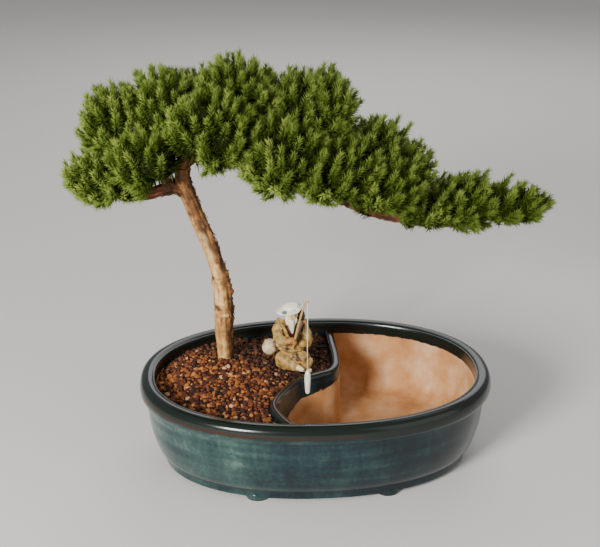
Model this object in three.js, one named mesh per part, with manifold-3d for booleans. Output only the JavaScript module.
import * as THREE from 'three';
import Module from 'manifold-3d';
import { mergeVertices } from 'three/addons/utils/BufferGeometryUtils.js';

// Sizes in millimetres, X right, Y away from the viewer, Z up, origin under the pot's middle

const POT_HALF_WIDTH = 140;
const POT_HALF_DEPTH = 101;
const POT_SQUARENESS = 2.2;
const POT_SEGMENTS = 30;
const FLOOR_TOP = 14;
const UNDERSIDE = 4;
const DIVIDER_TOP = 66;
const DIVIDER_HALF_THICKNESS = 3.6;
const FOOT_AT = [50, 69];
const DIVIDER_STEPS = 18;
const DRAIN_RADIUS = 7;
const DRAINS = [[-92, 6], [-66, -34]];
const GAP = 0.3;

const TRUNK_FOOT = [-72, 37];
const SOIL_EDGE = 61;
const SOIL_MOUND = 7;
const SOIL_MOUND_WIDTH = 30;
const GRAIN_PITCH = 8.6;
const GRAIN_RELIEF = 1.3;

const SPRIG_REACH = 6.5;
const SPRIG_LENGTH = 14;
const SPRIG_ROOT = 2.6;
const SPRIG_RINGS = [[0.16, 2.5], [0.5, 2.4]];
const NEEDLE = 6.8;
const CORE_APART = 1.6;
const SPRIG_CLEAR = 4.6;

const FIGURE_BASE = 62.8;
const FISH_AT = [-7.6, -15];
const ROD_TIP_HEIGHT = 136.5;
const FISH_TOP = 78.5;
const LINE_RADIUS = 0.35;

// How far the pot's outside steps in from the rim, and at what height
const OUTSIDE = [
  [17.5, 4], [17, 11], [14.6, 12.6], [11.5, 18], [8, 30], [6, 43],
  [4.8, 58], [1, 61], [0, 65.5], [1.4, 70.6], [4.6, 72.7], [8, 73],
];
const INSIDE = [
  [25, 14], [20, 18], [15, 30], [12.8, 46], [12.3, 69], [10.8, 71.8], [8, 73], [8, 80],
];

// The wall between land and water, from the front rim to the back rim, as seen in the photo
const DIVIDER = [
  [-13, -104], [-20, -86], [-31, -64], [-35.5, -44], [-28, -24], [-17.5, -7.5],
  [-8, 0], [3, 5.5], [13, 11.5], [18.2, 23], [19.6, 42], [19.2, 64], [18.5, 104],
];

// The grown wood: each limb is points with a radius at each
const LIMBS = {
  trunk: [
    [-71.6, 37, 50, 6.3], [-71.6, 37, 62, 6.3], [-71.5, 37, 69, 6.4], [-71.7, 37, 76, 6.7],
    [-72.1, 37, 92, 7.5], [-71.8, 37, 111, 8], [-72.7, 36.6, 125, 7.6], [-73.9, 36, 138, 6.9],
    [-77.2, 36, 151, 6.2], [-81, 36, 164.5, 6.3], [-86.3, 36.5, 178, 6.4], [-91.4, 37, 191, 6.3],
    [-96, 37, 204, 6.2], [-99.8, 37, 216, 6.1], [-101.5, 37, 227, 5.9], [-97, 37, 238, 5.7],
    [-82, 37, 243.5, 5.5], [-62, 37, 244.5, 5.4], [-46, 37, 242.5, 5.2],
  ],
  cascade: [
    [-62, 37, 244.5, 5.3], [-46, 37, 242.5, 5.2], [-32, 37, 238, 5], [-17, 36.5, 229, 4.8],
    [-2, 36, 218, 4.5], [14, 36, 208, 4.3], [30, 36, 199, 4], [50, 35, 191, 3.7],
    [70, 35, 185.5, 3.4], [92, 35, 181.5, 3.1], [112, 35, 181, 2.8], [132, 36, 184, 2.5],
    [152, 36, 188, 2.1], [172, 36, 192, 1.6],
  ],
  left: [
    [-96, 37, 208, 5], [-106, 36.5, 215, 5], [-118, 36, 213.5, 4.6], [-132, 35, 210.5, 4],
    [-148, 34, 211, 3.2], [-164, 33, 218, 2.2],
  ],
  left_rise: [[-130, 35, 211, 3.2], [-143, 38, 226, 3], [-153, 42, 245, 2.6], [-158, 44, 262, 2]],
  left_front: [[-108, 36, 215, 3.2], [-116, 27, 226, 2.9], [-122, 19, 236, 2.4], [-126, 13, 246, 1.9]],
  crown_left: [[-98, 37, 228, 4], [-104, 41, 244, 3.6], [-111, 45, 260, 3], [-115, 48, 276, 2.2]],
  crown_front: [[-91, 37, 237, 3.2], [-88, 28, 246, 3], [-84, 19, 256, 2.6], [-80, 10, 267, 2]],
  crown_back: [[-82, 37, 243, 3.4], [-80, 50, 250, 3], [-78, 62, 259, 2.5], [-76, 70, 268, 2]],
  apex: [[-68, 37, 244, 3.8], [-65, 37, 260, 3.4], [-62, 37, 276, 2.8], [-60, 37, 290, 2]],
  crown_right: [[-34, 37, 238.5, 3.6], [-27, 39, 252, 3.2], [-20, 40, 266, 2.6], [-16, 41, 278, 2]],
  middle_front: [[-36, 37, 239.5, 3], [-33, 27, 243, 2.8], [-29, 17, 248, 2.4], [-26, 10, 253, 1.9]],
  middle_back: [[-22, 37, 232, 3], [-16, 50, 236, 2.7], [-10, 62, 241, 2.3], [-6, 69, 246, 1.8]],
  right_rise: [[-1, 36, 217.5, 3.2], [5, 38, 236, 2.9], [9, 40, 255, 2.5], [11, 41, 270, 1.9]],
  right_low: [[9, 36, 211, 2.8], [12, 27, 218, 2.5], [15, 19, 226, 2.2], [17, 14, 233, 1.9]],
  shoulder: [[31, 36, 198.5, 2.9], [40, 37, 214, 2.6], [46, 38, 230, 2.3], [49, 38, 243, 1.8]],
  shoulder_front: [[44, 35, 193, 2.5], [48, 27, 200, 2.2], [52, 19, 208, 2], [53, 15, 216, 1.8]],
  step: [[70, 35, 185.5, 2.6], [74, 37, 202, 2.3], [76, 38, 217, 2], [76, 38, 228, 1.7]],
  tail_low: [[86, 35, 182.5, 2.3], [92, 35, 189, 2.1], [96, 34, 198, 1.7]],
  tail_rise: [[112, 35, 181, 2.2], [119, 36, 192, 1.9], [125, 37, 203, 1.6]],
};

// Clumps of foliage: the middle, the half sizes out to the sprig tips, and how many sprigs
const CLUMPS = [
  ['left_low', [-158, 32, 228], [36, 37, 24], 18],
  ['left_top', [-154, 42, 267], [27, 35, 31], 18],
  ['left_front', [-126, 8, 246], [34, 32, 27], 16],
  ['crown_left', [-115, 47, 276], [35, 42, 33], 18],
  ['crown_front', [-79, 5, 267], [39, 33, 34], 19],
  ['crown_back', [-78, 80, 266], [42, 33, 36], 17],
  ['apex', [-58, 38, 288], [36, 38, 31], 22],
  ['crown_right', [-12, 41, 275], [35, 39, 32], 18],
  ['middle_front', [-24, 3, 249], [38, 33, 34], 17],
  ['middle_back', [-6, 76, 247], [39, 32, 33], 14],
  ['right_rise', [11, 40, 275], [27, 37, 33], 16],
  ['right_low', [18, 10, 235], [37, 32, 29], 16],
  ['shoulder', [51, 38, 240], [27, 36, 29], 16],
  ['shoulder_front', [54, 13, 218], [31, 29, 25], 13],
  ['step', [76, 38, 223], [24, 31, 27], 13],
  ['tail_low', [97, 33, 198], [29, 28, 20], 11],
  ['tail_rise', [126, 37, 198], [28, 28, 25], 14],
  ['tail_tip', [161, 36, 196], [33, 24, 18], 17],
];

const wasm = await Module();
wasm.setup();

// Seeded chance, so that every build is the same
function chance(seed) {
  let state = seed >>> 0;
  return () => {
    state = (Math.imul(state, 1664525) + 1013904223) >>> 0;
    return state / 4294967296;
  };
}

const vec = (x, y, z) => new THREE.Vector3(x, y, z);

// Closed solids from rings of points, with a single point allowed at either end
function loft(rings) {
  const positions = [];
  const index = [];
  const starts = [];
  for (const ring of rings) {
    starts.push(positions.length / 3);
    ring.forEach((p) => positions.push(p.x, p.y, p.z));
  }
  for (let k = 0; k + 1 < rings.length; k += 1) {
    const [low, high] = [rings[k].length, rings[k + 1].length];
    const [a, b] = [starts[k], starts[k + 1]];
    const count = Math.max(low, high);
    for (let i = 0; i < count; i += 1) {
      const j = (i + 1) % count;
      if (low > 1) index.push(a + i, a + j, high > 1 ? b + j : b);
      if (high > 1) index.push(low > 1 ? a + i : a, b + j, b + i);
    }
  }
  const last = rings.length - 1;
  for (let i = 1; i + 1 < rings[0].length; i += 1) {
    index.push(0, i + 1, i);
  }
  for (let i = 1; i + 1 < rings[last].length; i += 1) {
    index.push(starts[last], starts[last] + i, starts[last] + i + 1);
  }
  const geometry = new THREE.BufferGeometry();
  geometry.setAttribute('position', new THREE.Float32BufferAttribute(positions, 3));
  geometry.setIndex(index);
  return geometry;
}

function solid(geometry) {
  const bare = new THREE.BufferGeometry();
  bare.setAttribute('position', geometry.getAttribute('position'));
  if (geometry.index) bare.setIndex(geometry.index);
  const merged = mergeVertices(bare, 1e-4);
  return new wasm.Manifold(new wasm.Mesh({
    numProp: 3,
    vertProperties: new Float32Array(merged.getAttribute('position').array),
    triVerts: new Uint32Array(merged.index.array),
  }));
}

const fuse = (solids) => solids.reduce((all, one) => all.add(one));

// The largest connected part, without loose scraps
function whole(body) {
  const parts = body.decompose();
  parts.sort((a, b) => b.volume() - a.volume());
  return parts[0];
}

function block(from, to) {
  const size = to.map((v, i) => v - from[i]);
  const geometry = new THREE.BoxGeometry(...size);
  geometry.translate(...from.map((v, i) => v + size[i] / 2));
  return solid(geometry);
}

function ellipsoid(at, size, around = 9, up = 6, rough = 0) {
  const random = chance(Math.round(Math.abs(at[0]) * 31));
  const rings = [[vec(at[0], at[1], at[2] - size[2])]];
  for (let k = 1; k < up; k += 1) {
    const tilt = -Math.PI / 2 + (Math.PI * k) / up;
    const ring = [];
    for (let i = 0; i < around; i += 1) {
      const turn = (2 * Math.PI * (i + (k % 2) * 0.5)) / around;
      const swell = 1 - rough * random();
      ring.push(vec(
        at[0] + swell * size[0] * Math.cos(tilt) * Math.cos(turn),
        at[1] + swell * size[1] * Math.cos(tilt) * Math.sin(turn),
        at[2] + swell * size[2] * Math.sin(tilt),
      ));
    }
    rings.push(ring);
  }
  rings.push([vec(at[0], at[1], at[2] + size[2])]);
  return loft(rings);
}

// A tapering round body along points that each carry a radius as fourth number
function limb(points, sides, { grow = 0, rough = 0, seed = 1 } = {}) {
  const random = chance(seed);
  const path = points.map((p) => vec(p[0], p[1], p[2]));
  const across = vec(1, 0, 0);
  const rings = path.map((p, k) => {
    const ahead = path[Math.min(k + 1, path.length - 1)].clone();
    const along = ahead.sub(path[Math.max(k - 1, 0)]).normalize();
    across.addScaledVector(along, -across.dot(along));
    if (across.length() < 1e-3) across.set(0, 1, 0).addScaledVector(along, -along.y);
    across.normalize();
    const over = along.clone().cross(across);
    const middle = p.clone();
    if (k === 0) middle.addScaledVector(along, -grow);
    if (k === path.length - 1) middle.addScaledVector(along, grow);
    return Array.from({ length: sides }, (_, i) => {
      const turn = (2 * Math.PI * i) / sides;
      const radius = points[k][3] * (1 + rough * (random() - 0.5)) + grow;
      return middle.clone()
        .addScaledVector(across, radius * Math.cos(turn))
        .addScaledVector(over, radius * Math.sin(turn));
    });
  });
  return loft(rings);
}

function lathe(profile, segments) {
  const points = profile.map(([r, z]) => new THREE.Vector2(r, z));
  const geometry = new THREE.LatheGeometry(points, segments);
  geometry.rotateX(Math.PI / 2);
  return geometry;
}

// The pot
function potRing(inset, z) {
  const ring = [];
  for (let i = 0; i < POT_SEGMENTS; i += 1) {
    const turn = (2 * Math.PI * (i + 0.5)) / POT_SEGMENTS;
    const [c, s] = [Math.cos(turn), Math.sin(turn)];
    const bulge = 2 / POT_SQUARENESS;
    ring.push(vec(
      (POT_HALF_WIDTH - inset) * Math.sign(c) * Math.abs(c) ** bulge,
      (POT_HALF_DEPTH - inset) * Math.sign(s) * Math.abs(s) ** bulge,
      z,
    ));
  }
  return ring;
}

function dividerPath(steps) {
  const curve = new THREE.CatmullRomCurve3(DIVIDER.map(([x, y]) => vec(x, y, 0)), false, 'centripetal');
  return curve.getPoints(steps);
}

// A wall that follows the divider, offset to its left and right by so much
function band(left, right, bottom, top) {
  const path = dividerPath(DIVIDER_STEPS);
  const near = [];
  const far = [];
  path.forEach((p, k) => {
    const ahead = path[Math.min(k + 1, path.length - 1)].clone();
    const along = ahead.sub(path[Math.max(k - 1, 0)]).normalize();
    near.push(new THREE.Vector2(p.x - along.y * left, p.y + along.x * left));
    far.push(new THREE.Vector2(p.x + along.y * right, p.y - along.x * right));
  });
  const shape = new THREE.Shape([...far, ...near.reverse()]);
  const geometry = new THREE.ExtrudeGeometry(shape, { depth: top - bottom, bevelEnabled: false });
  geometry.translate(0, 0, bottom);
  return solid(geometry);
}

function landSide(margin, bottom, top) {
  const path = dividerPath(DIVIDER_STEPS);
  const edge = path.map((p, k) => {
    const ahead = path[Math.min(k + 1, path.length - 1)].clone();
    const along = ahead.sub(path[Math.max(k - 1, 0)]).normalize();
    return new THREE.Vector2(p.x - along.y * margin, p.y + along.x * margin);
  });
  edge.push(new THREE.Vector2(-200, 160), new THREE.Vector2(-200, -160));
  const shape = new THREE.Shape(edge);
  const geometry = new THREE.ExtrudeGeometry(shape, { depth: top - bottom, bevelEnabled: false });
  geometry.translate(0, 0, bottom);
  return solid(geometry);
}

function cavity(margin) {
  const rings = INSIDE.map(([inset, z]) => potRing(inset + margin, z === FLOOR_TOP ? z + margin : z));
  return solid(loft(rings));
}

function buildPot() {
  const outside = solid(loft(OUTSIDE.map(([inset, z]) => potRing(inset, z))));
  const wall = band(DIVIDER_HALF_THICKNESS, DIVIDER_HALF_THICKNESS, FLOOR_TOP - 2, DIVIDER_TOP - 1.8);
  const crest = band(DIVIDER_HALF_THICKNESS - 1.3, DIVIDER_HALF_THICKNESS - 1.3, FLOOR_TOP, DIVIDER_TOP);
  let pot = outside.subtract(cavity(0).subtract(wall).subtract(crest));
  const feet = [];
  for (const sx of [-1, 1]) {
    for (const sy of [-1, 1]) {
      const foot = lathe([[0, 0], [9, 0], [10, 2], [10, UNDERSIDE + 2], [0, UNDERSIDE + 2]], 8);
      foot.translate(sx * FOOT_AT[0], sy * FOOT_AT[1], 0);
      feet.push(solid(foot));
    }
  }
  pot = fuse([pot, ...feet]);
  for (const [x, y] of DRAINS) {
    const hole = limb([[x, y, 0, DRAIN_RADIUS], [x, y, FLOOR_TOP + 4, DRAIN_RADIUS]], 12);
    pot = pot.subtract(solid(hole));
  }
  return whole(pot);
}

function screenPlate(x, y, half, thick) {
  const [low, high] = [FLOOR_TOP + GAP, FLOOR_TOP + GAP + thick];
  let plate = block([x - half, y - half, low], [x + half, y + half, high]);
  for (const [u, v] of [[-1, -1], [1, -1], [-1, 1], [1, 1]]) {
    const [cu, cv, r] = [x + u * 3.2, y + v * 3.2, 2.2];
    plate = plate.subtract(block([cu - r, cv - r, low - 1], [cu + r, cv + r, high + 1]));
  }
  return plate;
}

// The gravel, a mound with grains as relief
function soilHeight(x, y) {
  const away = (x - TRUNK_FOOT[0]) ** 2 + (y - TRUNK_FOOT[1]) ** 2;
  return SOIL_EDGE + SOIL_MOUND * Math.exp(-away / (2 * SOIL_MOUND_WIDTH ** 2));
}

function gravelBlock() {
  const random = chance(7);
  const nx = 21;
  const ny = 22;
  const positions = [];
  const index = [];
  for (let j = 0; j <= ny; j += 1) {
    for (let i = 0; i <= nx; i += 1) {
      const shift = j % 2 ? 0.5 : 0;
      const x = -142 + (i + shift) * GRAIN_PITCH + (random() - 0.5) * 2.6;
      const y = -96 + j * GRAIN_PITCH + (random() - 0.5) * 2.6;
      const bump = (random() < 0.5 ? 1 : -1) * GRAIN_RELIEF * (0.4 + 0.6 * random());
      positions.push(x, y, soilHeight(x, y) + bump);
    }
  }
  const count = positions.length / 3;
  for (let k = 0; k < count; k += 1) {
    positions.push(positions[3 * k], positions[3 * k + 1], FLOOR_TOP - 6);
  }
  const id = (i, j) => j * (nx + 1) + i;
  const quad = (a, b, c, d) => index.push(a, b, c, a, c, d);
  for (let j = 0; j < ny; j += 1) {
    for (let i = 0; i < nx; i += 1) {
      const [a, b, c, d] = [id(i, j), id(i + 1, j), id(i + 1, j + 1), id(i, j + 1)];
      if (j % 2) quad(d, a, b, c);
      else quad(a, b, c, d);
      quad(a + count, d + count, c + count, b + count);
    }
  }
  for (let i = 0; i < nx; i += 1) {
    quad(id(i, 0) + count, id(i + 1, 0) + count, id(i + 1, 0), id(i, 0));
    quad(id(i + 1, ny) + count, id(i, ny) + count, id(i, ny), id(i + 1, ny));
  }
  for (let j = 0; j < ny; j += 1) {
    quad(id(0, j + 1) + count, id(0, j) + count, id(0, j), id(0, j + 1));
    quad(id(nx, j) + count, id(nx, j + 1) + count, id(nx, j + 1), id(nx, j));
  }
  const geometry = new THREE.BufferGeometry();
  geometry.setAttribute('position', new THREE.Float32BufferAttribute(positions, 3));
  geometry.setIndex(index);
  return solid(geometry);
}

function buildSoil(screens) {
  const room = cavity(GAP).intersect(landSide(DIVIDER_HALF_THICKNESS + GAP, FLOOR_TOP, 90));
  let soil = gravelBlock().intersect(room);
  for (const [x, y] of screens) {
    soil = soil.subtract(block([x - 10.3, y - 10.3, FLOOR_TOP - 1], [x + 10.3, y + 10.3, FLOOR_TOP + 1.9]));
  }
  soil = soil.subtract(solid(limb(LIMBS.trunk.slice(0, 5), 8, { grow: GAP, rough: 0.1, seed: 3 })));
  return soil;
}

// The wood, all grown together
function buildWood(grow) {
  const limbs = Object.entries(LIMBS).map(([name, points], k) => {
    const sides = { trunk: 8, cascade: 6, left: 5 }[name] ?? 4;
    return solid(limb(points, sides, { grow, rough: 0.1, seed: 3 + k }));
  });
  return fuse(limbs);
}

// A leafy sprig grown out of a core's face: a slim pointed spindle with needles drawn from its sides
function growSprig(points, index, face, { base, along, length }) {
  const aside = face.map((n) => {
    const out = points[n].clone().sub(base);
    return out.addScaledVector(along, -out.dot(along)).normalize();
  });
  const ring = (t, radius) => aside.map((out) => points.push(
    base.clone().addScaledVector(along, t * length).addScaledVector(out, radius),
  ) - 1);
  const inset = face.map((n) => points.push(base.clone().lerp(points[n], SPRIG_ROOT
    / base.distanceTo(points[n]))) - 1);
  const [low, high] = SPRIG_RINGS.map(([t, radius]) => ring(t, radius));
  const end = points.push(base.clone().addScaledVector(along, length)) - 1;
  for (let i = 0; i < 3; i += 1) {
    const j = (i + 1) % 3;
    index.push(face[i], face[j], inset[j], face[i], inset[j], inset[i]);
    index.push(inset[i], inset[j], low[j], inset[i], low[j], low[i]);
    index.push(high[i], high[j], end);
    for (const side of [[low[i], low[j], high[j]], [low[i], high[j], high[i]]]) {
      const tip = side.reduce((sum, n) => sum.add(points[n]), vec(0, 0, 0)).divideScalar(3);
      const out = tip.clone().sub(base);
      out.addScaledVector(along, -out.dot(along)).normalize();
      tip.addScaledVector(out, NEEDLE * 0.3).addScaledVector(along, NEEDLE * 0.78);
      const t = points.push(tip) - 1;
      index.push(side[0], side[1], t, side[1], side[2], t, side[2], side[0], t);
    }
  }
}

function segmentDistance(a, b, c, d) {
  let best = Infinity;
  for (let i = 0; i <= 6; i += 1) {
    const p = a.clone().lerp(b, i / 6);
    const q = new THREE.Line3(c, d).closestPointToPoint(p, true, vec(0, 0, 0));
    best = Math.min(best, p.distanceTo(q));
  }
  return best;
}

// The cores that the sprigs stand on, each smaller than its clump
const CORES = CLUMPS.map(([, , size]) => size.map((r) => r - SPRIG_REACH));

// Neighbouring cores end at a pair of planes with a gap between them
function dividingPlanes() {
  const planes = CLUMPS.map(() => []);
  const reach = (size, u) => 1 / Math.hypot(u.x / size[0], u.y / size[1], u.z / size[2]);
  for (let a = 0; a < CLUMPS.length; a += 1) {
    for (let b = a + 1; b < CLUMPS.length; b += 1) {
      const from = vec(...CLUMPS[a][1]);
      const normal = vec(...CLUMPS[b][1]).sub(from);
      const apart = normal.length();
      normal.normalize();
      const excess = reach(CORES[a], normal) + reach(CORES[b], normal) - apart;
      if (excess > -8) {
        const middle = normal.dot(from) + reach(CORES[a], normal) - excess / 2;
        planes[a].push({ normal, limit: middle - CORE_APART / 2 });
        planes[b].push({ normal: normal.clone().negate(), limit: -middle - CORE_APART / 2 });
      }
    }
  }
  return planes;
}

const PLANES = dividingPlanes();

function insideCore(p, c, margin) {
  const at = CLUMPS[c][1];
  const core = CORES[c].map((r) => r + margin);
  const within = ((p.x - at[0]) / core[0]) ** 2 + ((p.y - at[1]) / core[1]) ** 2
    + ((p.z - at[2]) / core[2]) ** 2 < 1;
  return within && PLANES[c].every(({ normal, limit }) => normal.dot(p) < limit + margin);
}

function coreMesh(c) {
  let core = solid(ellipsoid(CLUMPS[c][1], CORES[c], 9, 5, 0.3));
  for (const { normal, limit } of PLANES[c]) {
    core = core.trimByPlane([-normal.x, -normal.y, -normal.z], -limit);
  }
  const { vertProperties, triVerts } = core.getMesh();
  const points = [];
  for (let i = 0; i < vertProperties.length; i += 3) {
    points.push(vec(...vertProperties.slice(i, i + 3)));
  }
  const faces = [];
  for (let i = 0; i < triVerts.length; i += 3) {
    const corners = Array.from(triVerts.slice(i, i + 3));
    const triangle = new THREE.Triangle(...corners.map((n) => points[n]));
    const edges = corners.map((n, k) => points[n].distanceTo(points[corners[(k + 1) % 3]]));
    const around = edges[0] + edges[1] + edges[2];
    faces.push({
      corners,
      middle: triangle.getMidpoint(vec(0, 0, 0)),
      normal: triangle.getNormal(vec(0, 0, 0)),
      room: (2 * triangle.getArea()) / around,
    });
  }
  return { points, faces };
}

// Where each sprig of each clump goes, clear of the other clumps and of the wood
function layOutSprigs(meshes) {
  const random = chance(20);
  const placed = [];
  const wood = Object.values(LIMBS).flatMap((points) => points.slice(1).map((p, k) => ({
    from: vec(...points[k].slice(0, 3)), to: vec(...p.slice(0, 3)), radius: Math.max(points[k][3], p[3]),
  })));
  CLUMPS.forEach(([, at, , count], c) => {
    const core = CORES[c];
    for (let i = 0; i < count; i += 1) {
      for (let attempt = 0; attempt < 40; attempt += 1) {
        const loose = 0.05 + attempt * 0.05;
        const z = THREE.MathUtils.clamp(1 - (1.78 * (i + 0.5)) / count + (random() - 0.5) * loose, -0.9, 1);
        const around = i * 2.39996 + c + (random() - 0.5) * 2 * loose;
        const flat = Math.sqrt(1 - z * z);
        const d = vec(flat * Math.cos(around), flat * Math.sin(around), z);
        const facing = (f) => vec((f.middle.x - at[0]) / core[0], (f.middle.y - at[1]) / core[1],
          (f.middle.z - at[2]) / core[2]).normalize().dot(d);
        const face = meshes[c].faces.reduce((best, f) => (facing(f) > facing(best) ? f : best));
        const base = face.middle;
        const along = face.normal.clone().add(vec(0, 0, face.normal.z < -0.3 ? 0.05 : 0.5));
        along.add(vec((random() - 0.5) * 0.3, (random() - 0.5) * 0.3, 0)).normalize();
        const length = SPRIG_LENGTH * (0.86 + 0.28 * random());
        const tip = base.clone().addScaledVector(along, length);
        const start = base.clone().addScaledVector(along, 2);
        const mid = base.clone().addScaledVector(along, length * 0.5);
        const small = face.taken || face.room < SPRIG_ROOT * 0.62;
        const hitsCore = CLUMPS.some((other, o) => o !== c
          && [tip, mid, start].some((p) => insideCore(p, o, SPRIG_CLEAR + 0.5)));
        const hitsWood = wood.some((w) => segmentDistance(start, tip, w.from, w.to)
          < w.radius + SPRIG_CLEAR);
        const hitsSprig = placed.some((s) => segmentDistance(start, tip, s.start, s.tip)
          < (s.clump === c ? 1.7 : 2.05) * SPRIG_CLEAR);
        if (!small && !hitsCore && !hitsWood && !hitsSprig) {
          face.taken = true;
          placed.push({ clump: c, face, base, along, length, start, tip });
          break;
        }
      }
    }
  });
  return placed;
}

function buildClump({ points, faces }, sprigs, widerWood) {
  const index = [];
  for (const face of faces) {
    const own = sprigs.find((s) => s.face === face);
    if (own) growSprig(points, index, face.corners, own);
    else index.push(...face.corners);
  }
  const geometry = new THREE.BufferGeometry();
  const flat = points.flatMap((p) => [p.x, p.y, p.z]);
  geometry.setAttribute('position', new THREE.Float32BufferAttribute(flat, 3));
  geometry.setIndex(index);
  return whole(solid(geometry).subtract(widerWood));
}

// The seated fisherman, one piece of glazed clay with his creel
const ROD = [
  [-17.5, 13, 84, 0.95], [-16, 5.5, 97, 0.9], [-12.8, -4.5, 118, 0.8], [-9.6, -12.4, 134.5, 0.7],
  [-8.4, -14.3, 136.9, 0.65], [-7, -16, 137.2, 0.65],
];

function buildFigure(rodHole) {
  const hat = lathe([[0, -0.8], [10.6, -1.4], [11.2, -0.4], [5.6, 1.6], [3.2, 3.4], [0, 4]], 10);
  hat.rotateX(-0.14);
  hat.rotateY(-0.17);
  hat.translate(-20.2, 17.5, 118.8);
  const parts = [
    ellipsoid([-18.5, 21, 68], [15, 11.3, 9.5], 9, 5),
    ellipsoid([-17.6, 21.5, 91], [11.5, 8.6, 19.5], 9, 5),
    limb([[-16, 18, 75, 7], [-9.5, 12.8, 78.2, 6.2], [-5.5, 10, 77.6, 5.2]], 7),
    limb([[-5.6, 10.6, 77.6, 5], [-6.2, 11.6, 72, 4.7], [-7.5, 12.6, 66, 3.8], [-7.6, 12.8, 62, 3.8]], 6),
    limb([
      [-27.5, 20.5, 73.6, 6.2], [-21.5, 15, 71.6, 5.4], [-15.6, 10.8, 69.6, 3.9], [-9.6, 6, 68.4, 1.9],
    ], 6),
    ellipsoid([-5, 10.4, 66], [4.2, 2.6, 2.3], 7, 5),
    limb([
      [-25.4, 21, 106.5, 4.2], [-29.4, 17, 99, 4.6], [-27.4, 10.8, 93.5, 4.3], [-21.4, 6.8, 93.4, 3.6],
    ], 7),
    limb([[-23, 7.2, 93.4, 2.6], [-18.4, 5.8, 95, 2.5]], 7),
    limb([
      [-10, 21, 106, 4.2], [-4.9, 17, 97, 4.6], [-5.2, 13, 88.6, 4.4], [-10.4, 8.6, 90.6, 3.6],
      [-14, 7, 92, 3],
    ], 7),
    ellipsoid([-17, 6.1, 94.2], [3, 3, 3.6], 7, 4),
    ellipsoid([-18.7, 17.4, 112.4], [5.1, 5.5, 7], 8, 5),
    ellipsoid([-17.6, 17.4, 121.6], [5.2, 5, 4], 8, 5),
    limb([[-18.6, 13.2, 109.4, 3.4], [-18.2, 11.7, 104.4, 2.7], [-17.6, 11, 98.8, 0.9]], 6),
    ellipsoid([-34.8, 22.8, 81.8], [6.7, 6.4, 7.8], 7, 4),
    limb([[-33, 22.4, 79, 4], [-24, 21.4, 76, 4]], 6),
  ];
  let figure = fuse([...parts.map(solid), solid(hat)]);
  figure = figure.subtract(block([-60, -20, 40], [20, 60, FIGURE_BASE]));
  return whole(figure.subtract(rodHole));
}

function buildFish() {
  const [x, y] = FISH_AT;
  return limb([
    [x, y, FISH_TOP - GAP, 0.8], [x, y, FISH_TOP - 2.5, 1.7], [x, y, FISH_TOP - 8, 2.5],
    [x, y, FISH_TOP - 14, 2.9], [x, y, FISH_TOP - 18, 2.6], [x, y, FISH_TOP - 20.6, 1.4],
  ], 8);
}

function buildLine() {
  const [x, y] = FISH_AT;
  const path = new THREE.CatmullRomCurve3([
    vec(x, y, FISH_TOP),
    vec(x - 0.25, y, (FISH_TOP + ROD_TIP_HEIGHT) / 2 - 8),
    vec(x, y, ROD_TIP_HEIGHT - GAP),
  ]);
  const shape = new THREE.Shape(Array.from({ length: 8 }, (_, i) => {
    const turn = (2 * Math.PI * i) / 8;
    return new THREE.Vector2(LINE_RADIUS * Math.cos(turn), LINE_RADIUS * Math.sin(turn));
  }));
  return new THREE.ExtrudeGeometry(shape, { steps: 6, bevelEnabled: false, extrudePath: path });
}

// Everything together
function meshOf(name, body, color) {
  const material = new THREE.MeshStandardMaterial({ color, roughness: 0.7 });
  let geometry = body;
  if (!body.isBufferGeometry) {
    const { vertProperties, triVerts } = body.getMesh();
    geometry = new THREE.BufferGeometry();
    geometry.setAttribute('position', new THREE.Float32BufferAttribute(vertProperties, 3));
    geometry.setIndex(Array.from(triVerts));
  }
  const mesh = new THREE.Mesh(geometry, material);
  mesh.name = name;
  return mesh;
}

function build() {
  const meshes = [];
  const widerWood = buildWood(GAP);
  const rodHole = solid(limb(ROD, 6, { grow: GAP }));
  const figure = buildFigure(rodHole);
  const seat = block([-36, 4, FIGURE_BASE - GAP], [1, 33.5, 75]);
  meshes.push(meshOf('pot', buildPot(), '#4b5f50'));
  DRAINS.forEach(([x, y], k) => {
    meshes.push(meshOf(`drain_screen_${k + 1}`, screenPlate(x, y, 10, 1.2), '#2a2d2b'));
  });
  meshes.push(meshOf('soil', whole(buildSoil(DRAINS).subtract(seat)), '#a0663a'));
  meshes.push(meshOf('wood', whole(buildWood(0)), '#8a6238'));
  const cores = CLUMPS.map((clump, c) => coreMesh(c));
  const sprigs = layOutSprigs(cores);
  CLUMPS.forEach((clump, c) => {
    const own = sprigs.filter((s) => s.clump === c);
    meshes.push(meshOf(`foliage_${clump[0]}`, buildClump(cores[c], own, widerWood), '#4a6422'));
  });
  meshes.push(meshOf('fisherman', figure, '#c8bda0'));
  meshes.push(meshOf('rod', limb(ROD, 6), '#3a2a1c'));
  meshes.push(meshOf('line', buildLine(), '#d8d4c8'));
  meshes.push(meshOf('fish', buildFish(), '#e8e4d8'));
  const group = new THREE.Group();
  group.name = 'garden_juniper_bonsai';
  meshes.forEach((mesh) => group.add(mesh));
  const box = new THREE.Box3().setFromObject(group);
  const shift = vec(-(box.min.x + box.max.x) / 2, -(box.min.y + box.max.y) / 2, -box.min.z);
  meshes.forEach((mesh) => mesh.geometry.translate(shift.x, shift.y, shift.z));
  return group;
}

export default build();
